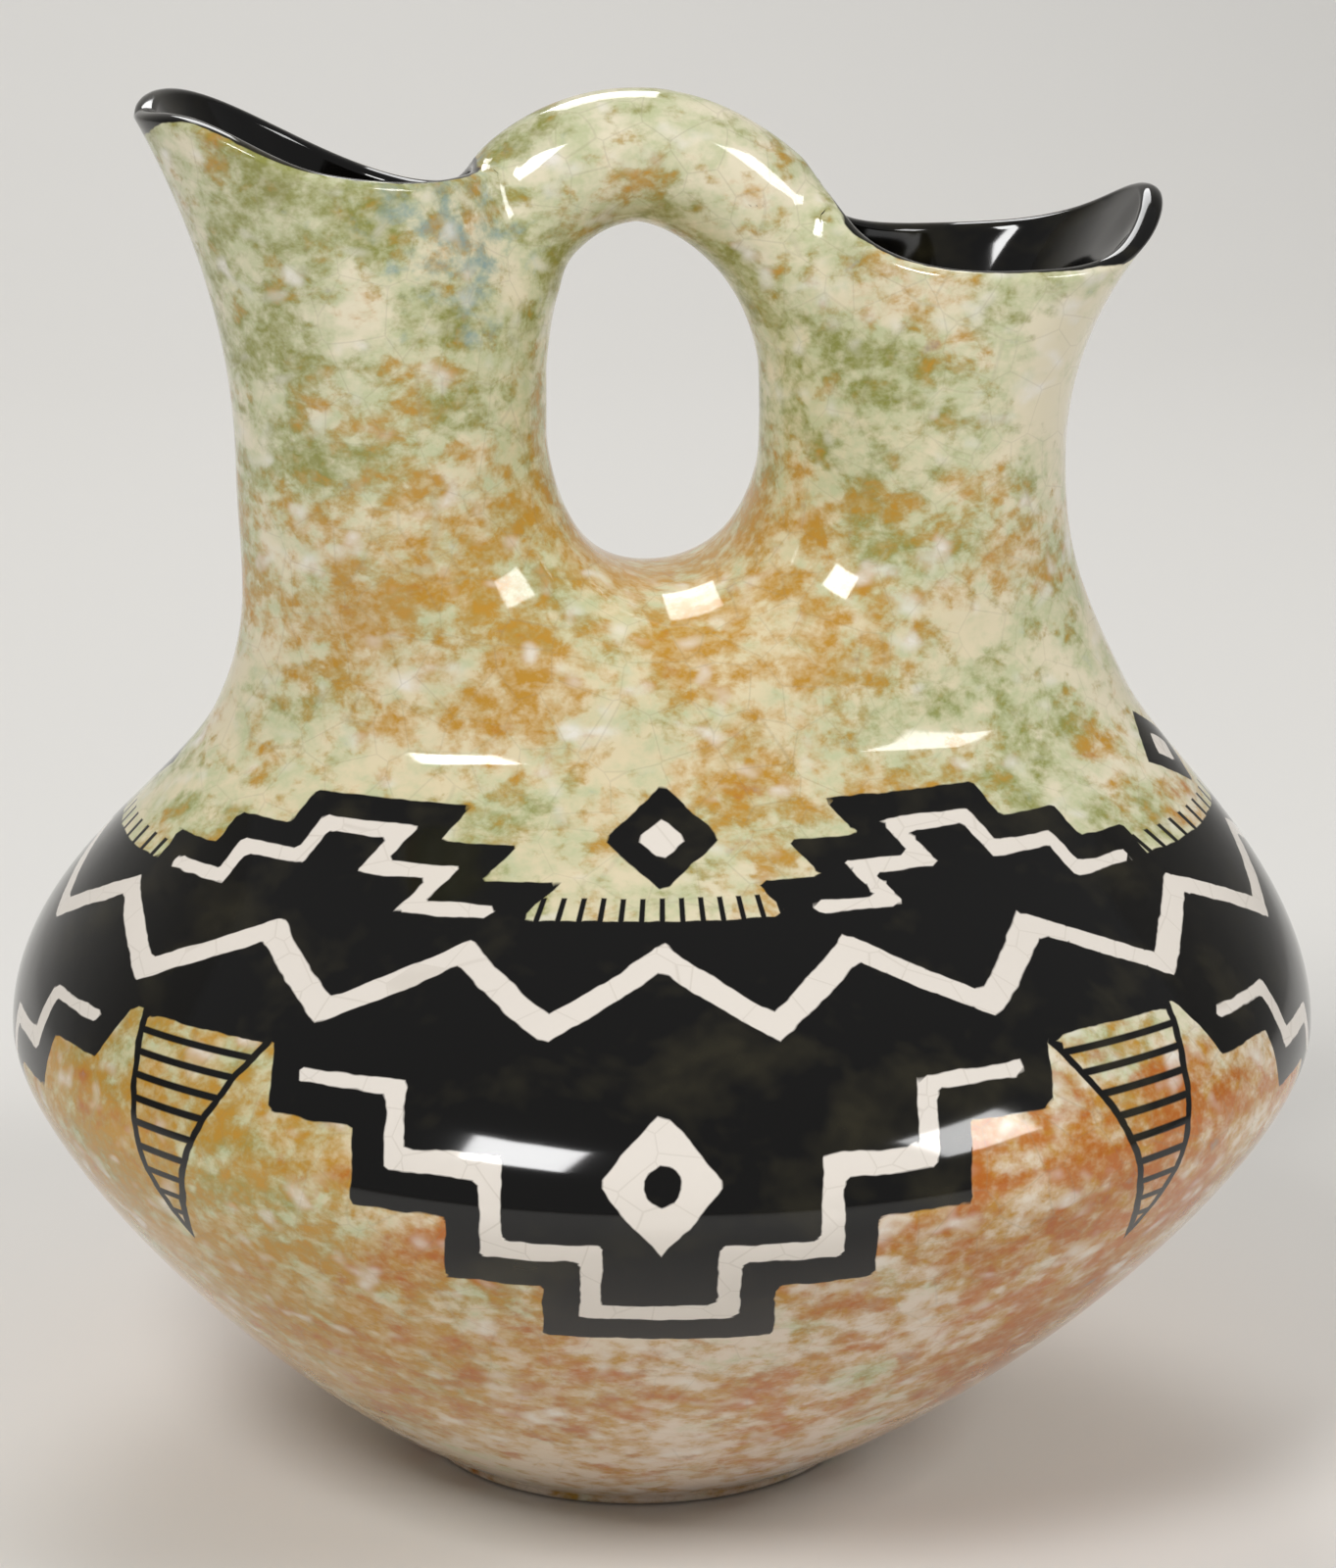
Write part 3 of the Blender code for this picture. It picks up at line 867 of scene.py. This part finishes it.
# Marks: their size in mm, how ragged they are, and which throw of the noise they come from
DABS = (5.6, 4, 0.0)
SMALL_DABS = (3.8, 4, 3.1)
FLECKS = (6.0, 1, 7.7)
PORES = (1.9, 2, 5.3)
CLOUDS = (15.0, 3, 11.3)
WARM_CLOUDS = (17.0, 3, 17.9)
DRIFT = (50.0, 2, 23.1)
BRUSH_SHAKE = (6.0, 2, 31.7)
RIPPLES = (9.0, 1, 41.0)
MARK_SQUASH = (1.0, 1.0, 1.3)
MARK_ROUGHNESS = 0.6
MARK_DISTORTION = 0.2

# How wet the sponge has to be to leave a trace of a colour, and all of it
PALE_GREEN_TAKES = (1.02, 1.34)
SAGE_TAKES = (1.18, 1.48)
GOLD_TAKES = (1.09, 1.40)
ORANGE_TAKES = (1.20, 1.48)
BLUE_TAKES = (0.63, 0.88)
MILK_TAKES = (0.56, 0.82)
PORE_RANGE = (0.32, 0.6)
PORE_COVER = 0.5
DRIFT_RANGE = (0.3, 0.7)
DRIFT_SWING = 0.07

# How much colour each pass leaves, by height in mm
GREEN_BY_HEIGHT = ((0, 0.04), (40, 0.06), (70, 0.12), (100, 0.24), (125, 0.16), (150, 0.26), (211, 0.30))
WARM_BY_HEIGHT = ((0, 0.18), (30, 0.28), (70, 0.26), (95, 0.08), (118, 0.12), (140, 0.19), (164, 0.06),
                  (211, 0.08))
PINK_BY_HEIGHT = ((0, 0.9), (55, 0.7), (100, 0.15), (211, 0.1))

# Spots on the vase in metres, as the materials see them
BLUE_PATCH = (-0.033, -0.019, 0.196)
SADDLE = (0.0, -0.02, 0.135)
WARM_NECK = (-0.05, -0.028, 0.15)
MILKY_PATCH = (0.066, -0.016, 0.172)
OLIVE_PATCH = (-0.085, -0.045, 0.055)
ORANGE_PATCH = (0.055, -0.08, 0.055)

# Where a pass was wetter or drier: a spot, how far in mm the change is full and where it ends, and the change
MILKY_AT = ((MILKY_PATCH, 8, 24, -0.35),)
GREEN_AT = ((OLIVE_PATCH, 20, 75, 0.2),)
WARM_AT = ((ORANGE_PATCH, 10, 55, 0.12),)
GOLDEN_AT = ((OLIVE_PATCH, 20, 75, 0.1), (SADDLE, 20, 60, 0.08), (WARM_NECK, 10, 45, 0.1))
FIERY_AT = ((OLIVE_PATCH, 20, 75, -0.12), (SADDLE, 30, 95, -0.14))
STRAW_AT = ((OLIVE_PATCH, 20, 105, 0.6), (SADDLE, 15, 80, 0.4))
BLUE_AT = ((BLUE_PATCH, 6, 26, 0.24),)

# Brushwork, crazing and gloss
PAINT_EDGE = 0.12
PAINT_SHAKE = 0.7
PAINT_RAISED = 0.25
THIN_RANGE = (0.52, 0.74)
THIN_MOST = 0.75
CRAZE_CELL = 7.5
CRAZE_LINE = (0.006, 0.022)
CRAZE_STRENGTH = 0.3
RIPPLE_STRENGTH = 0.35
RIPPLE_DEPTH = 0.1
GLAZE_ROUGHNESS = 0.08
GLAZE_IOR = 1.5
GRIT_SIZE = 1.2
GRIT_DETAIL = 4
GRIT_STRENGTH = 0.4
GRIT_DEPTH = 0.2
CLAY_ROUGHNESS = 0.8


def sponged_glaze():
    """Stoneware with a clear gloss glaze over sponged oxides: ragged dabs in cream, green and orange under a
    wet shine, with brushed black and pale slip lines, and a faint web of crazing."""
    material, add = blank_material("sponged_stoneware_glaze")
    place = add("ShaderNodeTexCoord", out="Object")
    flattened = add("ShaderNodeVectorMath", {0: place, 1: MARK_SQUASH}, operation="MULTIPLY")
    height = add("ShaderNodeSeparateXYZ", {0: place}, out=2)

    def patches(size, detail, seed):
        """Soft uneven patches of a size in mm."""
        return add("ShaderNodeTexNoise", {"Vector": flattened, "W": seed, "Scale": per_metre(size),
                                          "Detail": detail, "Roughness": MARK_ROUGHNESS,
                                          "Distortion": MARK_DISTORTION}, noise_dimensions="4D")

    def by_height(stops):
        """A value that changes with height."""
        share = add("ShaderNodeMath", {0: height, 1: VASE_HEIGHT * MM}, operation="DIVIDE")
        value = add("ShaderNodeValToRGB", {0: share})
        ramp = value.node.color_ramp
        ramp.interpolation = "EASE"
        for _ in stops[2:]:
            ramp.elements.new(0.5)
        for element, (where, level) in zip(ramp.elements, stops):
            element.position = where / VASE_HEIGHT
            element.color = (level, level, level, 1)
        return value

    def near(spot, full, none, level):
        """A level that fades out away from a spot, between two distances in mm."""
        far = add("ShaderNodeVectorMath", {0: place, 1: spot}, out="Value", operation="DISTANCE")
        return add("ShaderNodeMapRange", {"Value": far, "From Min": full * MM, "From Max": none * MM,
                                          "To Min": level, "To Max": 0.0}, interpolation_type="SMOOTHSTEP")

    def around(spots):
        """The levels near several spots."""
        return [near(*spot) for spot in spots]

    def total(*values):
        """The sum of several values."""
        value = values[0]
        for other in values[1:]:
            value = add("ShaderNodeMath", {0: value, 1: other}, operation="ADD")
        return value

    def over(under, colour, cover):
        """One colour laid over another."""
        return add("ShaderNodeMix", {0: cover, 6: under, 7: colour}, out=2, data_type="RGBA")

    def sponge(under, colour, wet, takes):
        """One pass with a sponge, which leaves colour where it was wet, thinner in its pores."""
        cover = add("ShaderNodeMapRange", {"Value": wet, "From Min": takes[0], "From Max": takes[1]},
                    interpolation_type="SMOOTHSTEP")
        return over(under, colour, add("ShaderNodeMath", {0: cover, 1: pores}, operation="MULTIPLY"))

    def inside(distance):
        """1 inside a painted edge and 0 outside it."""
        return add("ShaderNodeMapRange", {"Value": distance, "From Min": PAINT_EDGE, "From Max": -PAINT_EDGE})

    def brushed(name, shake):
        """A painted edge with the small waver of a brush."""
        drawn = add("ShaderNodeAttribute", out="Fac", attribute_name=name)
        waver = add("ShaderNodeMapRange", {"Value": shake, "To Min": -PAINT_SHAKE, "To Max": PAINT_SHAKE})
        return total(drawn, waver)

    dabs, small_dabs, flecks = patches(*DABS), patches(*SMALL_DABS), patches(*FLECKS)
    clouds, warm_clouds, drift = patches(*CLOUDS), patches(*WARM_CLOUDS), patches(*DRIFT)
    pores = add("ShaderNodeMapRange", {"Value": patches(*PORES), "From Min": PORE_RANGE[0],
                                       "From Max": PORE_RANGE[1], "To Min": PORE_COVER})
    drifting = {"Value": drift, "From Min": DRIFT_RANGE[0], "From Max": DRIFT_RANGE[1]}
    greener = add("ShaderNodeMapRange", {**drifting, "To Min": DRIFT_SWING, "To Max": -DRIFT_SWING})
    warmer = add("ShaderNodeMapRange", {**drifting, "To Min": -DRIFT_SWING, "To Max": DRIFT_SWING})
    milky = around(MILKY_AT)
    green = total(by_height(GREEN_BY_HEIGHT), *milky, greener, *around(GREEN_AT))
    warm = total(by_height(WARM_BY_HEIGHT), *milky, warmer, *around(WARM_AT))
    golden = total(warm, *around(GOLDEN_AT))
    fiery = total(warm, *around(FIERY_AT))
    sage = over(linear(SAGE), linear(OLIVE), drift)
    orange = over(linear(ORANGE), linear(RUST), clouds)
    colour = over(linear(CREAM), linear(PINK_CREAM), by_height(PINK_BY_HEIGHT))
    colour = over(colour, linear(STRAW), total(*around(STRAW_AT)))
    colour = sponge(colour, linear(PALE_GREEN), total(dabs, clouds, green), PALE_GREEN_TAKES)
    colour = sponge(colour, sage, total(small_dabs, clouds, green), SAGE_TAKES)
    colour = sponge(colour, linear(GOLD), total(small_dabs, warm_clouds, golden), GOLD_TAKES)
    colour = sponge(colour, orange, total(dabs, warm_clouds, fiery), ORANGE_TAKES)
    colour = sponge(colour, linear(BLUE_GREY), total(dabs, *around(BLUE_AT)), BLUE_TAKES)
    colour = sponge(colour, linear(MILK), flecks, MILK_TAKES)

    # Crazing is finer than this on the pot. It is drawn coarser so that it shows as a faint web.
    cell = add("ShaderNodeTexVoronoi", {"Vector": place, "Scale": per_metre(CRAZE_CELL)}, out="Distance",
               feature="DISTANCE_TO_EDGE")
    crack = add("ShaderNodeMapRange", {"Value": cell, "From Min": CRAZE_LINE[0], "From Max": CRAZE_LINE[1],
                                       "To Min": CRAZE_STRENGTH, "To Max": 0.0})
    crack = add("ShaderNodeMath", {0: crack, 1: drift}, operation="MULTIPLY")
    colour = over(colour, linear(CRAZE), crack)
    pale = over(linear(WHITE_SLIP), linear(CRAZE), crack)

    shake = patches(*BRUSH_SHAKE)
    rise = add("ShaderNodeAttribute", out="Fac", attribute_name="rise")
    hatch = brushed("hatch", shake)
    stripe = add("ShaderNodeMath", {0: rise, 1: HATCH_PITCH}, operation="PINGPONG")
    stripe = add("ShaderNodeMath", {0: stripe, 1: HATCH_LINE}, operation="SUBTRACT")
    stripes = add("ShaderNodeMath", {0: hatch, 1: stripe}, operation="MAXIMUM")
    border = add("ShaderNodeMath", {0: total(hatch, HATCH_EDGE)}, operation="ABSOLUTE")
    border = add("ShaderNodeMath", {0: border, 1: HATCH_EDGE}, operation="SUBTRACT")
    black = add("ShaderNodeMath", {0: stripes, 1: border}, operation="MINIMUM")
    parts = add("ShaderNodeSeparateXYZ", {0: place}).node
    angle = add("ShaderNodeMath", {0: parts.outputs[1], 1: parts.outputs[0]}, operation="ARCTAN2")
    comb = add("ShaderNodeMath", {0: angle, 1: TICKS / math.tau * TICK_PITCH}, operation="MULTIPLY")
    comb = add("ShaderNodeMath", {0: comb, 1: TICK_PITCH / 2}, operation="PINGPONG")
    comb = add("ShaderNodeMath", {0: comb, 1: TICK_WIDTH / 2}, operation="SUBTRACT")
    tips = add("ShaderNodeMath", {0: total(rise, shake), 1: BAND_HIGH + TICK_HEIGHT}, operation="SUBTRACT")
    roots = add("ShaderNodeMath", {0: BAND_HIGH - TUCKED_BEHIND, 1: rise}, operation="SUBTRACT")
    ticks = add("ShaderNodeMath", {0: comb, 1: tips}, operation="MAXIMUM")
    ticks = add("ShaderNodeMath", {0: ticks, 1: roots}, operation="MAXIMUM")
    black = add("ShaderNodeMath", {0: black, 1: ticks}, operation="MINIMUM")
    black = add("ShaderNodeMath", {0: black, 1: brushed("paint", shake)}, operation="MINIMUM")
    solid = inside(black)
    slip = inside(brushed("slip", shake))
    thin = add("ShaderNodeMapRange", {"Value": clouds, "From Min": THIN_RANGE[0], "From Max": THIN_RANGE[1],
                                      "To Max": THIN_MOST})
    colour = over(colour, over(linear(BLACK), linear(THIN_BLACK), thin), solid)
    colour = over(colour, pale, slip)

    raised = add("ShaderNodeMath", {0: solid, 1: PAINT_RAISED}, operation="MULTIPLY")
    ripple = add("ShaderNodeBump", {"Strength": RIPPLE_STRENGTH, "Distance": RIPPLE_DEPTH * MM,
                                    "Height": total(patches(*RIPPLES), raised)})
    shader = add("ShaderNodeBsdfPrincipled", {"Base Color": colour, "Roughness": GLAZE_ROUGHNESS,
                                              "IOR": GLAZE_IOR, "Normal": ripple})
    add("ShaderNodeOutputMaterial", {0: shader}, out=None)
    return material


def bare_clay():
    """Unglazed buff stoneware: a matt, gritty underside."""
    material, add = blank_material("bare_buff_stoneware")
    place = add("ShaderNodeTexCoord", out="Object")
    grit = add("ShaderNodeTexNoise", {"Vector": place, "Scale": per_metre(GRIT_SIZE), "Detail": GRIT_DETAIL})
    tone = add("ShaderNodeMix", {0: grit, 6: linear(DARK_CLAY), 7: linear(PALE_CLAY)}, out=2, data_type="RGBA")
    rough = add("ShaderNodeBump", {"Strength": GRIT_STRENGTH, "Distance": GRIT_DEPTH * MM, "Height": grit})
    shader = add("ShaderNodeBsdfPrincipled", {"Base Color": tone, "Roughness": CLAY_ROUGHNESS, "Normal": rough})
    add("ShaderNodeOutputMaterial", {0: shader}, out=None)
    return material


def dress(piece, normals, materials):
    """Puts a piece in the scene in place of its clay solid."""
    made = bpy.data.objects.new(piece.name + "_glazed", build_mesh(piece, normals, materials))
    bpy.context.scene.collection.objects.link(made)
    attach(made, "root")
    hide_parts(piece.name)
    return made


def make_vase():
    """Every piece of the vase."""
    bowl = make_bowl()
    shoulder = make_shoulder()
    spouts = [make_spout("left_spout", LEFT), make_spout("right_spout", RIGHT)]
    coil = handle_line()
    sinks = sinks_of()
    handle = make_handle(coil, sinks)
    join_handle(spouts, handle, coil, sinks, shells_of(spouts))
    under, top, bare_rows = base_rings()
    base = Piece("base_disc", [under, top], hollow=False)
    pieces = [bowl, shoulder, *spouts, handle, base]
    glaze = sponged_glaze()
    slots = ("bowl_glaze", "shoulder_glaze", "spout_glaze", "spout_glaze", "handle_glaze", "bare_clay")
    smooth = shared_normals(pieces)
    for spout in spouts:
        spout.rings += spout.dip
    tuck_ends(handle, smooth[pieces.index(handle)], spouts)
    for piece, normals, slot in zip(pieces, smooth, slots):
        materials = [glaze, bare_clay()] if piece is base else [glaze]
        made = dress(piece, normals, materials)
        if piece is base:
            marks = np.zeros(len(made.data.polygons), np.int32)
            marks[:(bare_rows - 1) * AROUND] = 1
            made.data.polygons.foreach_set("material_index", marks)


# The studio, in metres
FLOOR = -0.1 * MM
FLOOR_REACH = 9.0
SWEEP_START = 0.9
SWEEP_BEND = 0.6
SWEEP_ROWS = 12
SWEEP_TOP = 3.0
PAPER = "#E4E2DE"
PAPER_ROUGHNESS = 0.9
ROOM_LIGHT = "#F2F2F2"
ROOM_LEVEL = 0.28
LAMPS_FACE = (0, 0, 0.1)
# Each lamp's name, place, size and power
LAMPS = (("key", (-0.6, -0.85, 1.15), 0.4, 11.0), ("fill", (0.85, -0.65, 0.95), 0.4, 6.0),
         ("top", (0.0, 1.0, 1.15), 0.6, 7.0))
FILM_WIDTH = 36
# The focal length over the height of the frame
LENS_REACH = 4831.6 / 1600
LENS_SHIFT = 0.0039
CAMERA_SPOT = (-0.09742, -0.69319, 0.300)
CAMERA_TILT = 74.387
CAMERA_TURN = -8


def studio():
    """A pale floor that sweeps up behind, soft lamps and the camera."""
    scene = bpy.context.scene
    scene.view_settings.view_transform = "Standard"
    make_sweep(scene)
    for name, spot, size, power in LAMPS:
        lamp = bpy.data.lights.new(name, "AREA")
        lamp.size = size
        lamp.energy = power
        made = bpy.data.objects.new(name, lamp)
        made.location = spot
        made.rotation_euler = (Vector(LAMPS_FACE) - made.location).to_track_quat("-Z", "Y").to_euler()
        scene.collection.objects.link(made)
    world = bpy.data.worlds.new("soft_room")
    world.use_nodes = True
    world.node_tree.nodes["Background"].inputs[0].default_value = linear(ROOM_LIGHT)
    world.node_tree.nodes["Background"].inputs[1].default_value = ROOM_LEVEL
    scene.world = world
    lens = bpy.data.cameras.new("camera")
    lens.lens = FILM_WIDTH * LENS_REACH
    lens.sensor_width = FILM_WIDTH
    lens.shift_x = LENS_SHIFT
    camera = bpy.data.objects.new("camera", lens)
    camera.location = CAMERA_SPOT
    camera.rotation_euler = (math.radians(CAMERA_TILT), 0, math.radians(CAMERA_TURN))
    scene.collection.objects.link(camera)
    scene.camera = camera


def make_sweep(scene):
    """The floor, with a bend up to a wall behind: matt paper that stays plain and pale."""
    steps = [(-FLOOR_REACH, FLOOR), (SWEEP_START, FLOOR)]
    for step in range(1, SWEEP_ROWS + 1):
        over = math.pi / 2 * step / SWEEP_ROWS
        steps.append((SWEEP_START + SWEEP_BEND * math.sin(over), FLOOR + SWEEP_BEND * (1 - math.cos(over))))
    steps.append((SWEEP_START + SWEEP_BEND, SWEEP_TOP))
    points = [(x, y, z) for y, z in steps for x in (-FLOOR_REACH, FLOOR_REACH)]
    faces = [(2 * i, 2 * i + 1, 2 * i + 3, 2 * i + 2) for i in range(len(steps) - 1)]
    mesh = bpy.data.meshes.new("sweep")
    mesh.from_pydata(points, [], faces)
    mesh.shade_smooth()
    floor = bpy.data.objects.new("sweep", mesh)
    scene.collection.objects.link(floor)
    paper = bpy.data.materials.new("matt_studio_paper")
    paper.use_nodes = True
    shader = paper.node_tree.nodes["Principled BSDF"]
    shader.inputs["Base Color"].default_value = linear(PAPER)
    shader.inputs["Roughness"].default_value = PAPER_ROUGHNESS
    mesh.materials.append(paper)


make_vase()
studio()
